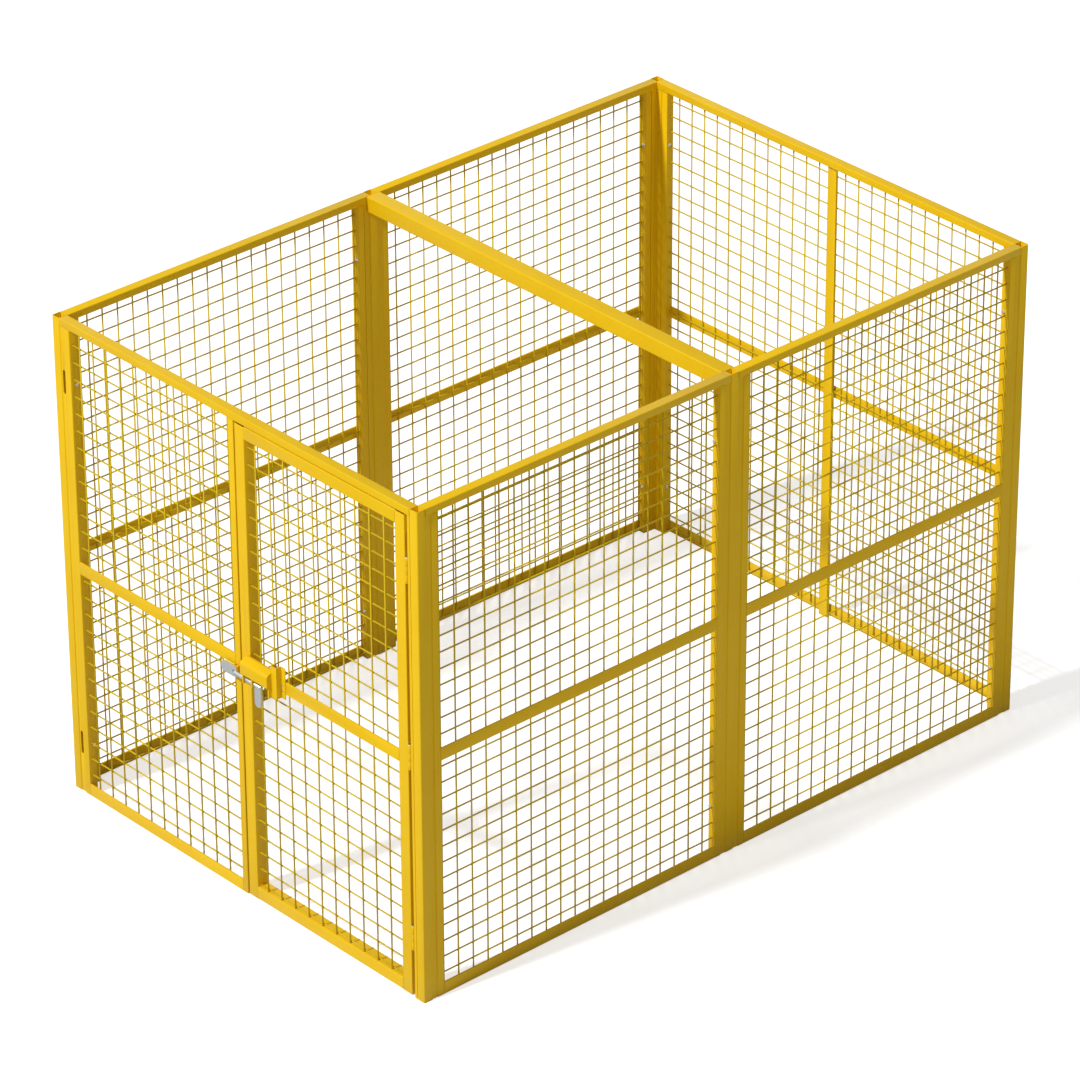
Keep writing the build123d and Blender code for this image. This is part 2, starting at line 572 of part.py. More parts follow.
def keeper_shape():
    """Channel on the jamb stile, behind the bolt's tip, with a hole in line with the tip's hole."""
    z0 = LATCH_HEIGHT - TIP_HEIGHT / 2 + KEEPER_INSET
    z1 = LATCH_HEIGHT + TIP_HEIGHT / 2 - KEEPER_INSET
    web = BOLT_BACK + KEEPER_GAP
    u0 = JAMB_START + CORNER * STILE_WALL
    u1 = JAMB_EDGE - CORNER * STILE_WALL
    keeper = block(u0, u1, web, 0, z0, z1)
    keeper -= block(u0 + KEEPER_THICK, u1 - KEEPER_THICK, web + KEEPER_THICK, 0, z0, z1)
    keeper -= rod((LOCK_PLACE, web, LATCH_HEIGHT), (0, 1, 0), KEEPER_THICK, LOCK_HOLE)
    return keeper


def screw(u, z, sheet, wall):
    """Pan-head screw through a latch sheet into the door's wall behind it."""
    shank = rod((u, -sheet, z), (0, 1, 0), sheet + wall - SCREW_SHORT, SCREW)
    head = rod((u, -sheet - SCREW_HEAD_THICK, z), (0, 1, 0), SCREW_HEAD_THICK, SCREW_HEAD)
    return shank + head


def write_latch():
    screws = [screw(u, z, HOOD_THICK, DOOR_WALL) for u, z in hood_screw_places()]
    screws += [screw(u, z, BRACKET_THICK, BAR_THICK) for u, z in bracket_screw_places()]
    write("latch_hood", on_wall("front", hood_shape()))
    write("latch_bracket", on_wall("front", bracket_shape()))
    write("latch_bolt", on_wall("front", bolt_shape()))
    write("latch_keeper", on_wall("front", keeper_shape()))
    write("latch_screws", [on_wall("front", piece) for piece in screws])


os.makedirs("parts", exist_ok=True)
for post_name, post_places in POSTS.items():
    write(post_name, post_shape(post_places))
write("post_caps", [cap_shape(post_places) for post_places in POSTS.values()])
write_long_walls()
write_back_wall()
write_front_wall()
write_clamps()
write_beam()
write_door()
write_hinges()
write_latch()
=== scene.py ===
"""Looks of a free-standing wire mesh partition with a door, in yellow powder coat.

Metres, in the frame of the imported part: the door wall faces -Y and the floor is z = 0.
"""

import json
import math

import bmesh
import bpy
from mathutils import Matrix, Vector

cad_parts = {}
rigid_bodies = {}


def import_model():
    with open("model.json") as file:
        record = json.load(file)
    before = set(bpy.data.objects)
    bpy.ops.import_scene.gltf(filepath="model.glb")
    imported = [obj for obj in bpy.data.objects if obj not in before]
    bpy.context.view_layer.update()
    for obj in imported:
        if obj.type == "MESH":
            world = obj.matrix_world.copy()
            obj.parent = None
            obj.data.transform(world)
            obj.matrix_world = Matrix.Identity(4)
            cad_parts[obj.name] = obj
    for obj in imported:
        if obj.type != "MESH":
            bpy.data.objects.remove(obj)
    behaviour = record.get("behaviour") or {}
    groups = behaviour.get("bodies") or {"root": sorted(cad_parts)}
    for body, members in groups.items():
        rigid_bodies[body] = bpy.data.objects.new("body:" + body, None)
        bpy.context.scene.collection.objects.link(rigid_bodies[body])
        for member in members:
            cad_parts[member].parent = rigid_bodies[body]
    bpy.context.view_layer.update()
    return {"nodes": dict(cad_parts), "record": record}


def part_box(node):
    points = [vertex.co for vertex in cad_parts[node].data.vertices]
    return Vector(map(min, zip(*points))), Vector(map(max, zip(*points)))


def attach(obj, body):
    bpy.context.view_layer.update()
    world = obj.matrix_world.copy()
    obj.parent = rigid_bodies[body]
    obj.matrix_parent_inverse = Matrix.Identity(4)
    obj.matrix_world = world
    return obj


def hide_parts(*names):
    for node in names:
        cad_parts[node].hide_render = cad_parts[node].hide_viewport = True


for leftover in list(bpy.data.objects):
    bpy.data.objects.remove(leftover)
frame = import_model()
scene = bpy.context.scene
BODIES = frame["record"]["behaviour"]["bodies"]
BODY_OF = {node: body for body, nodes in BODIES.items() for node in nodes}

# ---- sizes that the nodes' own boxes don't give --------------------------------------------------
MM = 0.001
UP = Vector((0, 0, 1))
UNIT = (Vector((1, 0, 0)), Vector((0, 1, 0)), UP)
# Each wall's direction along it and inwards, as seen from outside with its start on the left.
WALLS = {
    "front": (Vector((1, 0, 0)), Vector((0, 1, 0))),
    "right": (Vector((0, 1, 0)), Vector((-1, 0, 0))),
    "back": (Vector((-1, 0, 0)), Vector((0, -1, 0))),
    "left": (Vector((0, -1, 0)), Vector((1, 0, 0))),
}
STILE_FACE = 30 * MM

WIRE = 6 * MM
LOWEST_LEVEL = 6 * MM       # from a sheet's lower end to the middle of its lowest level wire
# Level wires' middle behind the sheet's outer face, in wires: welded wires sink into each other.
LEVEL_DEPTH = 1.48
LONG_SHEET = {"First Upright": 6 * MM, "Pitch Across": 70.5 * MM, "Pitch Upwards": 66 * MM}
DOOR_SHEET = {"First Upright": 50 * MM, "Pitch Across": 76.5 * MM, "Pitch Upwards": 70 * MM}
# Welded sheets: node, wall, upright wires, level wires and their spacing.
SHEETS = [
    ("left_front_mesh", "left", 19, 30, LONG_SHEET),
    ("left_back_mesh", "left", 19, 30, LONG_SHEET),
    ("right_front_mesh", "right", 19, 30, LONG_SHEET),
    ("right_back_mesh", "right", 19, 30, LONG_SHEET),
    ("back_mesh", "back", 26, 30, LONG_SHEET),
    ("front_mesh", "front", 12, 28, DOOR_SHEET),
    ("door_mesh", "front", 10, 27, DOOR_SHEET),
]
# Sizes in wires, along the wall, inwards and upwards: a weld nugget's least and most, and the tacks
# at the ends of the upright and of the level wires.
NUGGET_LEAST = (1.0, 0.75, 1.0)
NUGGET_MOST = (1.35, 0.95, 1.35)
UPRIGHT_TACK = (1.5, 1.4, 0.8)
LEVEL_TACK = (0.8, 1.4, 1.5)
UNSCALED = (1.0, 1.0, 1.0)

# Heads of bolts and screws: corners, and as shares the corner radius of the width across, the
# straight rim of the height, and the flat top of the corner radius.
HEXAGON_HEAD = (6, 1 / math.sqrt(3), 0.8, 0.84)
PAN_HEAD = (24, 0.5, 0.55, 0.62)
CLAMP_BOLT = {"Shank": 8 * MM, "Across": 13 * MM, "Head": 5.3 * MM}
LATCH_SCREW = {"Shank": 5 * MM, "Across": 9 * MM, "Head": 2.5 * MM}
SAME_LEVEL = 0.1 * MM       # corners this close to an end of a fastener are at that end

BEAD = {"Radius": 2.6 * MM, "Ripple": 3.2 * MM}
BEAD_INSET = 4 * MM         # from a weld's ends to the edges of what it joins
BRACKET_SEAM = 0.66         # share of the latch bracket's height that its weld covers
RING_SPACING = 0.35         # of a ripple
RIPPLE_SWELL = 0.1          # of the bead's radius
BEAD_UNEVEN = (0.88, 1.08)  # least and most of its radius, by the welder's hand

USUAL_EDGE = 0.6 * MM       # radius of an edge, on all nodes but these
OTHER_EDGES = {"latch_bolt": 1.4 * MM, "latch_hood": 0.8 * MM, "hinge_pins": 0.9 * MM}
EDGE_ANGLE = math.radians(40)       # faces that meet at less have no edge to round
SAME_CORNER = 0.02 * MM     # corners closer than this are one
SAME_FACE = math.radians(0.5)       # faces that meet at less are one

# ---- finishes' patterns, in cells per metre from the size that each comment gives ----------------
FILM_SWING = 4.0            # the coat's thickness swings over 250 mm
FILM_MOTTLE = 65.0          # and mottles over 15 mm
MOTTLE_SHARE = 0.35         # of the swing
ORANGE_PEEL = 400.0         # 2.5 mm
PEEL_DEPTH = 0.12 * MM
COAT_WAVES = 85.0           # 12 mm, coarser than the peel, to show from a few metres away
WAVE_DEPTH = 0.6 * MM
COAT_IOR = 1.5
COAT_SHINE = 0.15           # satin, so well under a gloss coat's specular level
DUST_SPECKLE = 50.0         # 20 mm
DUST_TOP = 90 * MM          # where the floor dust ends
DUST_SHARE = 0.22
PASSIVATION = 80.0          # patches of 12.5 mm
DRAWN_LINES = (30.0, 2500.0, 2500.0)    # along X, and 0.4 mm apart
DRAWN_DEPTH = 0.1 * MM
RECESS_SHADE_MOTTLE = 900.0              # mottle of 1.1 mm in the painted shade of the screws' cross recesses

# ---- studio --------------------------------------------------------------------------------------
FLOOR_REACH = 80.0
FLOOR_SHADE = 0.7
FLOOR_GLOW = 0.62           # for the camera alone, so that the lit floor is as white as the sky
SKY_LEVEL = 0.31            # what lights the object
SKY_SEEN = 1.0              # what the camera and reflections meet
LAMP_LEVEL = 2.6
LAMP_WIDTH = math.radians(4.0)      # softens the shadows' edges
LAMP_FROM = Vector((-0.1, -0.67, 0.73))
LENS = 198.14               # camera lens and sensor in millimetres
SENSOR = 36.0
CAMERA_REACH = 200.0
CAMERA_PLACE = Vector((14.3537, -12.9735, 11.8303))
CAMERA_FORWARD = Vector((-0.64638, 0.58375, -0.49135))
CAMERA_UP = Vector((-0.36124, 0.33309, 0.87095))


# ---- nodes of materials and trees ----------------------------------------------------------------
def add(tree, kind, inputs=None, **settings):
    """Adds one node. What goes into an input is a number or a vector, an output of another node, or
    another node, which stands for its first output. A list goes into one input together."""
    node = tree.nodes.new(kind)
    for name, value in settings.items():
        setattr(node, name, value)
    for socket, given in (inputs or {}).items():
        for value in given if isinstance(given, list) else [given]:
            if isinstance(value, bpy.types.Node):
                value = value.outputs[0]
            if isinstance(value, bpy.types.NodeSocket):
                tree.links.new(value, node.inputs[socket])
            else:
                node.inputs[socket].default_value = value
    return node


def linear(code):
    """An sRGB hex colour as the linear colour that the shaders take."""
    parts = [int(code[i:i + 2], 16) / 255 for i in (1, 3, 5)]
    return (*[c / 12.92 if c <= 0.04045 else ((c + 0.055) / 1.055) ** 2.4 for c in parts], 1)


def new_material(name):
    """An empty material, and its tree."""
    material = bpy.data.materials.new(name)
    material.use_nodes = True
    material.node_tree.nodes.clear()
    return material, material.node_tree


# ---- finishes ------------------------------------------------------------------------------------
def powder_coat(name, full, thin, roughness):
    """Satin polyester powder coat, sprayed and baked on steel: an even, saturated colour with a
    fine orange-peel skin, a slow swing in film thickness, and floor dust on the lowest part."""
    material, tree = new_material(name)
    place = add(tree, "ShaderNodeTexCoord").outputs["Object"]
    # A thicker film is fuller in colour and a little smoother.
    swing = add(tree, "ShaderNodeTexNoise", {"Vector": place, "Scale": FILM_SWING, "Detail": 3.0})
    mottle = add(tree, "ShaderNodeTexNoise", {"Vector": place, "Scale": FILM_MOTTLE, "Detail": 2.0})
    film = add(tree, "ShaderNodeMath", {0: mottle, 1: MOTTLE_SHARE, 2: swing}, operation="MULTIPLY_ADD")
    cover = add(tree, "ShaderNodeMapRange", {"Value": film, "From Min": 0.4, "From Max": 0.95})
    coat = add(tree, "ShaderNodeMix", {0: cover, 6: linear(thin), 7: linear(full)}, data_type="RGBA")
    rough = add(tree, "ShaderNodeMapRange", {
        "Value": film, "From Min": 0.3, "From Max": 1.0,
        "To Min": roughness + 0.06, "To Max": roughness - 0.04})
    # Dust is strongest at the floor.
    height = add(tree, "ShaderNodeSeparateXYZ", {0: place}).outputs["Z"]
    low = add(tree, "ShaderNodeMapRange", {"Value": height, "From Min": DUST_TOP, "From Max": 0.0})
    speckle = add(tree, "ShaderNodeTexNoise", {"Vector": place, "Scale": DUST_SPECKLE, "Detail": 4.0})
    dust = add(tree, "ShaderNodeMath", {0: low, 1: speckle}, operation="MULTIPLY")
    dusted = add(tree, "ShaderNodeMath", {0: dust, 1: DUST_SHARE}, operation="MULTIPLY")
    colour = add(tree, "ShaderNodeMix", {
        0: dusted, 6: coat.outputs[2], 7: linear("#B5A678")}, data_type="RGBA")
    peel = add(tree, "ShaderNodeTexNoise", {"Vector": place, "Scale": ORANGE_PEEL, "Detail": 1.0})
    waves = add(tree, "ShaderNodeTexNoise", {"Vector": place, "Scale": COAT_WAVES, "Detail": 1.0})
    wavy = add(tree, "ShaderNodeBump", {"Strength": 0.25, "Distance": WAVE_DEPTH, "Height": waves})
    skin = add(tree, "ShaderNodeBump", {
        "Strength": 0.3, "Distance": PEEL_DEPTH, "Height": peel, "Normal": wavy})
    shader = add(tree, "ShaderNodeBsdfPrincipled", {
        "Base Color": colour.outputs[2], "Roughness": rough, "Normal": skin,
        "IOR": COAT_IOR, "Specular IOR Level": COAT_SHINE})
    add(tree, "ShaderNodeOutputMaterial", {"Surface": shader})
    return material


def zinc_plate(name):
    """Bright zinc plate with a clear blue passivation on cold drawn steel: a pale, slightly blue
    metal with faint straw patches and drawing lines along the bar."""
    material, tree = new_material(name)
    place = add(tree, "ShaderNodeTexCoord").outputs["Object"]
    patches = add(tree, "ShaderNodeTexNoise", {"Vector": place, "Scale": PASSIVATION, "Detail": 3.0})
    tint = add(tree, "ShaderNodeValToRGB", {0: patches})
    blue, straw = tint.color_ramp.elements
    blue.position = 0.35
    blue.color = linear("#D2DAE6")
    straw.position = 0.7
    straw.color = linear("#DEDED4")
    drawn = add(tree, "ShaderNodeMapping", {"Vector": place, "Scale": DRAWN_LINES})
    lines = add(tree, "ShaderNodeTexNoise", {"Vector": drawn, "Scale": 1.0, "Detail": 2.0})
    rough = add(tree, "ShaderNodeMapRange", {"Value": lines, "To Min": 0.24, "To Max": 0.42})
    grooves = add(tree, "ShaderNodeBump", {"Strength": 0.15, "Distance": DRAWN_DEPTH, "Height": lines})
    shader = add(tree, "ShaderNodeBsdfPrincipled", {
        "Base Color": tint, "Metallic": 1.0, "Roughness": rough, "Normal": grooves})
    add(tree, "ShaderNodeOutputMaterial", {"Surface": shader})
    return material


def recess_painted_shade(name):
    """Inside of a screw's cross recess: dark, dull metal with a fine mottle, painted as the shade of the
    recess's hollow.
    """
    material, tree = new_material(name)
    place = add(tree, "ShaderNodeTexCoord").outputs["Object"]
    shade_mottle = add(tree, "ShaderNodeTexNoise", {"Vector": place, "Scale": RECESS_SHADE_MOTTLE, "Detail": 2.0})
    tint = add(tree, "ShaderNodeMix", {
        0: shade_mottle, 6: linear("#2E2F33"), 7: linear("#55565A")}, data_type="RGBA")
    rough = add(tree, "ShaderNodeMapRange", {"Value": shade_mottle, "To Min": 0.45, "To Max": 0.7})
    shader = add(tree, "ShaderNodeBsdfPrincipled", {
        "Base Color": tint.outputs[2], "Metallic": 1.0, "Roughness": rough})
    add(tree, "ShaderNodeOutputMaterial", {"Surface": shader})
    return material


COAT = powder_coat("yellow_satin_powder_coat", "#F0C612", "#ECBD0C", 0.42)
# The wires carry the frame's yellow coat. It is written darker and greener here, as painted shade for the
# thin round wires' shaded sides.
WIRE_COAT_WITH_PAINTED_SHADE = powder_coat("yellow_powder_coat_on_wire_with_painted_shade", "#DEC21A", "#D2B414", 0.45)
ZINC = zinc_plate("blue_passivated_zinc_plate")
# Painted shade for the screws' cross recesses, which are drawn as dark bars in the heads.
RECESS_SHADE = recess_painted_shade("screw_recess_painted_shade")


# ---- pieces --------------------------------------------------------------------------------------
def new_tree(name, sockets):
    """A geometry tree with named inputs, and what its input node gives."""
    tree = bpy.data.node_groups.new(name, "GeometryNodeTree")
    for socket, kind in [("Geometry", "Geometry"), *sockets]:
        tree.interface.new_socket(socket, in_out="INPUT", socket_type=f"NodeSocket{kind}")
    tree.interface.new_socket("Geometry", in_out="OUTPUT", socket_type="NodeSocketGeometry")
    return tree, tree.nodes.new("NodeGroupInput").outputs


def finished(tree, shape, finish):
    """A tree's shape, made real and with its finish on."""
    solid = add(tree, "GeometryNodeRealizeInstances", {0: shape})
    return add(tree, "GeometryNodeSetMaterial", {"Geometry": solid, "Material": finish})


def applied(piece, name):
    """What a piece's modifiers make of it, as a plain mesh."""
    mesh = bpy.data.meshes.new_from_object(piece.evaluated_get(bpy.context.evaluated_depsgraph_get()))
    mesh.name = name
    return mesh


def grown(name, tree, inputs, start=None, place=None):
    """The tree's result as a plain mesh object."""
    carrier = bpy.data.objects.new(name, start or bpy.data.meshes.new(name))
    scene.collection.objects.link(carrier)
    modifier = carrier.modifiers.new("tree", "NODES")
    modifier.node_group = tree
    for socket in tree.interface.items_tree:
        if socket.in_out == "INPUT" and socket.name in inputs:
            modifier[socket.identifier] = inputs[socket.name]
    result = applied(carrier, name)
    carrier.modifiers.clear()
    if place:
        result.transform(place)
    carrier.data = result
    return carrier


def eased(node, name, finish, radius):
    """A node's solid with its sharp edges rounded to the given radius, as paint rounds them."""
    mesh = frame["nodes"][node].data.copy()
    cleaned = bmesh.new()
    cleaned.from_mesh(mesh)
    bmesh.ops.remove_doubles(cleaned, verts=cleaned.verts, dist=SAME_CORNER)
    bmesh.ops.dissolve_limit(cleaned, angle_limit=SAME_FACE, verts=cleaned.verts, edges=cleaned.edges)
    for face in cleaned.faces:
        face.smooth = True
    cleaned.to_mesh(mesh)
    cleaned.free()
    mesh.materials.clear()
    mesh.materials.append(finish)
    piece = bpy.data.objects.new(name, mesh)
    scene.collection.objects.link(piece)
    edge = piece.modifiers.new("eased_edges", "BEVEL")
    edge.width = radius
    edge.segments = 2
    edge.limit_method = "ANGLE"
    edge.angle_limit = EDGE_ANGLE
    edge.harden_normals = True
    piece.data = applied(piece, name)
    piece.modifiers.clear()
    return piece


def fit(piece, body, slot, *nodes):
    """Puts a finished piece on its body, in place of its nodes."""
    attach(piece, body)
    if nodes:
        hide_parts(*nodes)


def wall_place(node, wall):
    """A node's own frame on its wall, X along it, Y inwards and Z up from the node's lower outer
    corner, and the node's size along the wall, inwards and upwards."""
    along, inward = WALLS[wall]
    low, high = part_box(node)
    half = (high - low) / 2
    half_across, half_deep = abs(half.dot(along)), abs(half.dot(inward))
    corner = (low + high) / 2 - along * half_across - inward * half_deep - UP * half.z
    place = Matrix.Translation(corner) @ Matrix((along, inward, UP)).transposed().to_4x4()
    return place, 2 * half_across, 2 * half_deep, 2 * half.z


# ---- welded wire ---------------------------------------------------------------------------------
def welded_sheet_tree():
    """Upright wires with level wires behind them, a weld nugget at each crossing, and a tack at the top of
    each upright and at both ends of each level wire. Its own frame: X along the wall, Y inwards, Z up, from
    the sheet's lower outer corner."""
    lengths = ("Across", "Upwards", "First Upright", "Pitch Across", "Lowest Level", "Pitch Upwards", "Wire")
    tree, given = new_tree("welded_wire_sheet", [
        *[(length, "Float") for length in lengths],
        ("Uprights", "Int"), ("Levels", "Int"), ("Seed", "Int"), ("Finish", "Material")])
    first, lowest = given["First Upright"], given["Lowest Level"]
    radius = add(tree, "ShaderNodeMath", {0: given["Wire"], 1: 0.5}, operation="MULTIPLY")
    level_depth = add(tree, "ShaderNodeMath", {0: given["Wire"], 1: LEVEL_DEPTH}, operation="MULTIPLY")
    step_along = add(tree, "ShaderNodeCombineXYZ", {"X": given["Pitch Across"]})
    step_up = add(tree, "ShaderNodeCombineXYZ", {"Z": given["Pitch Upwards"]})

    def wire(length, axis, turn):
        """A wire from the origin along one axis."""
        rod = add(tree, "GeometryNodeMeshCylinder", {"Vertices": 8, "Radius": radius, "Depth": length})
        smooth = add(tree, "GeometryNodeSetShadeSmooth", {
            "Geometry": rod, "Selection": rod.outputs["Side"]}, domain="FACE")
        half = add(tree, "ShaderNodeMath", {0: length, 1: 0.5}, operation="MULTIPLY")
        middle = add(tree, "ShaderNodeCombineXYZ", {axis: half})
        return add(tree, "GeometryNodeTransform", {
            "Geometry": smooth, "Rotation": turn, "Translation": middle})

    def points(count, start, step):
        """A row of points, the first at a place along the wall, inwards and upwards."""
        place = add(tree, "ShaderNodeCombineXYZ", dict(enumerate(start)))
        return add(tree, "GeometryNodeMeshLine", {
            "Count": count, "Start Location": place, "Offset": step})

    feet = points(given["Uprights"], (first, radius, 0.0), step_along)
    heads = points(given["Uprights"], (first, radius, given["Upwards"]), step_along)
    starts = points(given["Levels"], (0.0, level_depth, lowest), step_up)
    ends = points(given["Levels"], (given["Across"], level_depth, lowest), step_up)
    # The wires cross one wire's thickness behind the outer face.
    column = points(given["Levels"], (0.0, 0.0, lowest), step_up)
    columns = add(tree, "GeometryNodeInstanceOnPoints", {
        "Points": points(given["Uprights"], (first, given["Wire"], 0.0), step_along), "Instance": column})
    crossings = add(tree, "GeometryNodeRealizeInstances", {0: columns})

    upright = wire(given["Upwards"], "Z", (0, 0, 0))
    level = wire(given["Across"], "X", (0, math.pi / 2, 0))
    ball = add(tree, "GeometryNodeMeshUVSphere", {"Segments": 8, "Rings": 4, "Radius": radius})
    blob = add(tree, "GeometryNodeSetShadeSmooth", {"Geometry": ball})
    swell = add(tree, "FunctionNodeRandomValue", {
        0: NUGGET_LEAST, 1: NUGGET_MOST, "Seed": given["Seed"]}, data_type="FLOAT_VECTOR")
    rows = [
        add(tree, "GeometryNodeInstanceOnPoints", {"Points": spots, "Instance": shape, "Scale": size})
        for spots, shape, size in (
            (feet, upright, UNSCALED), (starts, level, UNSCALED), (crossings, blob, swell),
            (heads, blob, UPRIGHT_TACK), (starts, blob, LEVEL_TACK), (ends, blob, LEVEL_TACK))
    ]
    sheet = add(tree, "GeometryNodeJoinGeometry", {0: rows})
    add(tree, "NodeGroupOutput", {0: finished(tree, sheet, given["Finish"])})
    return tree


sheet_tree = welded_sheet_tree()
for seed, (node, wall, uprights, levels, spacing) in enumerate(SHEETS):
    place, across, _, upwards = wall_place(node, wall)
    sizes = {"Across": across, "Upwards": upwards, "Uprights": uprights, "Levels": levels,
             "Lowest Level": LOWEST_LEVEL, "Wire": WIRE, "Seed": seed, "Finish": WIRE_COAT_WITH_PAINTED_SHADE, **spacing}
    fit(grown(f"{node}_wires", sheet_tree, sizes, place=place), BODY_OF[node], "mesh_wire", node)


# ---- bolts and screws ----------------------------------------------------------------------------
def fastener_tree(name, head_form, crossed):
    """Shank and head at each point, with the head towards the point's direction. A cross recess is
    two bars of painted shade, let into the head's top."""
    lengths = ("Shank", "Reach", "Across", "Head")
    finishes = ("Finish", "Recess Finish") if crossed else ("Finish",)
    tree, given = new_tree(name, [
        *[(length, "Float") for length in lengths], *[(finish, "Material") for finish in finishes]])
    sides, corner, rim, top = head_form
    size = {length: given[length] for length in lengths}
    # Each further length: what it is a share of, and the share.
    shares = {
        "Corner Radius": ("Across", corner), "Rim": ("Head", rim), "Crown": ("Head", 1 - rim),
        "Top Radius": ("Corner Radius", top), "Shank Radius": ("Shank", 0.5),
        "Rim Middle": ("Rim", 0.5), "Shank Middle": ("Reach", -0.5)}
    if crossed:
        shares |= {"Bar Length": ("Across", 0.5), "Bar Width": ("Across", 0.12),
                   "Bar Depth": ("Head", 0.3), "Bar Middle": ("Head", 0.86)}
    for length, (whole, share) in shares.items():
        size[length] = add(tree, "ShaderNodeMath", {0: size[whole], 1: share}, operation="MULTIPLY")

    def raised(shape, height):
        """A shape moved along the shank, towards the head."""
        lift = add(tree, "ShaderNodeCombineXYZ", {"Z": height})
        return add(tree, "GeometryNodeTransform", {"Geometry": shape, "Translation": lift})

    drum = add(tree, "GeometryNodeMeshCylinder", {
        "Vertices": sides, "Radius": size["Corner Radius"], "Depth": size["Rim"]})
    crown = add(tree, "GeometryNodeMeshCone", {
        "Vertices": sides, "Radius Bottom": size["Corner Radius"], "Radius Top": size["Top Radius"],
        "Depth": size["Crown"]})
    shank = add(tree, "GeometryNodeMeshCylinder", {
        "Vertices": 16, "Radius": size["Shank Radius"], "Depth": size["Reach"]})
    smooth_shank = add(tree, "GeometryNodeSetShadeSmooth", {
        "Geometry": shank, "Selection": shank.outputs["Side"]}, domain="FACE")
    shapes = [add(tree, "GeometryNodeJoinGeometry", {0: [
        raised(drum, size["Rim Middle"]), raised(crown, size["Rim"]),
        raised(smooth_shank, size["Shank Middle"])]})]
    if crossed:
        bars = []
        for x, y in (("Bar Length", "Bar Width"), ("Bar Width", "Bar Length")):
            bar_size = add(tree, "ShaderNodeCombineXYZ", {
                "X": size[x], "Y": size[y], "Z": size["Bar Depth"]})
            bar = add(tree, "GeometryNodeMeshCube", {"Size": bar_size})
            bars.append(raised(bar, size["Bar Middle"]))
        shapes.append(add(tree, "GeometryNodeJoinGeometry", {0: bars}))
    heading = add(tree, "GeometryNodeInputNamedAttribute", {"Name": "direction"}, data_type="FLOAT_VECTOR")
    turn = add(tree, "FunctionNodeAlignRotationToVector", {"Vector": heading}, axis="Z")
    parts = []
    for shape, finish in zip(shapes, finishes):
        placed = add(tree, "GeometryNodeInstanceOnPoints", {
            "Points": given["Geometry"], "Instance": shape, "Rotation": turn})
        parts.append(finished(tree, placed, given[finish]))
    whole_row = add(tree, "GeometryNodeJoinGeometry", {0: parts})
    add(tree, "NodeGroupOutput", {0: whole_row})
    return tree


def solids_of(node):
    """Each separate solid of a node, as the list of its corners, in the mesh's own order."""
    merged = bmesh.new()
    merged.from_mesh(frame["nodes"][node].data)
    bmesh.ops.remove_doubles(merged, verts=merged.verts, dist=SAME_CORNER)
    met = set()
    solids = []
    for start in merged.verts:
        if start in met:
            continue
        met.add(start)
        reached = [start]
        for corner in reached:
            for edge in corner.link_edges:
                other = edge.other_vert(corner)
                if other not in met:
                    met.add(other)
                    reached.append(other)
        solids.append([corner.co.copy() for corner in reached])
    merged.free()
    return solids


def spread(corners, middle, axis, level):
    """The greatest distance from a solid's axis to its corners at one level along the axis."""
    offsets = [corner - middle for corner in corners if abs(corner[axis] - level) < SAME_LEVEL]
    return max((offset - offset.dot(UNIT[axis]) * UNIT[axis]).length for offset in offsets)


def fastener_points(node, head):
    """The middle of the face under each head, which way the head looks, and the shank's reach."""
    points = []
    for corners in solids_of(node):
        low = Vector([min(corner[i] for corner in corners) for i in range(3)])
        high = Vector([max(corner[i] for corner in corners) for i in range(3)])
        size = high - low
        axis = max(range(3), key=lambda i: size[i])
        middle = (low + high) / 2
        # The head's end is the wider one.
        lower, upper = (spread(corners, middle, axis, end[axis]) for end in (low, high))
        towards = UNIT[axis] if upper > lower else -UNIT[axis]
        points.append((middle + towards * (size[axis] / 2 - head), towards, size[axis] - head))
    return points


def fasteners(name, node, tree, sizes):
    """The row of bolts or screws in place of a node's plain solids."""
    points = fastener_points(node, sizes["Head"])
    mesh = bpy.data.meshes.new(name)
    mesh.from_pydata([point for point, _, _ in points], [], [])
    directions = mesh.attributes.new("direction", "FLOAT_VECTOR", "POINT")
    for item, (_, towards, _) in zip(directions.data, points):
        item.vector = towards
    reach = min(reach for _, _, reach in points)
    inputs = {"Reach": reach, "Finish": ZINC, "Recess Finish": RECESS_SHADE, **sizes}
    fit(grown(name, tree, inputs, start=mesh), BODY_OF[node], "zinc_plate", node)


bolt_tree = fastener_tree("hexagon_bolts", HEXAGON_HEAD, crossed=False)
fasteners("clamp_bolts_plated", "clamp_bolts", bolt_tree, CLAMP_BOLT)
screw_tree = fastener_tree("pan_head_screws", PAN_HEAD, crossed=True)
fasteners("latch_screws_plated", "latch_screws", screw_tree, LATCH_SCREW)

# ---- tubes, bars, hinges and latch ---------------------------------------------------------------
DRAWN_ABOVE = ("clamp_bolts", "latch_screws")
ZINC_NODES = ("clamp_sleeves", "hinge_pins", "latch_bolt")
for node in sorted(BODY_OF):
    if node.endswith("_mesh") or node in DRAWN_ABOVE:
        continue
    zinc = node in ZINC_NODES
    name = f"{node}_{'plated' if zinc else 'coated'}"
    piece = eased(node, name, ZINC if zinc else COAT, OTHER_EDGES.get(node, USUAL_EDGE))
    fit(piece, BODY_OF[node], "zinc_plate" if zinc else "yellow_coat", node)


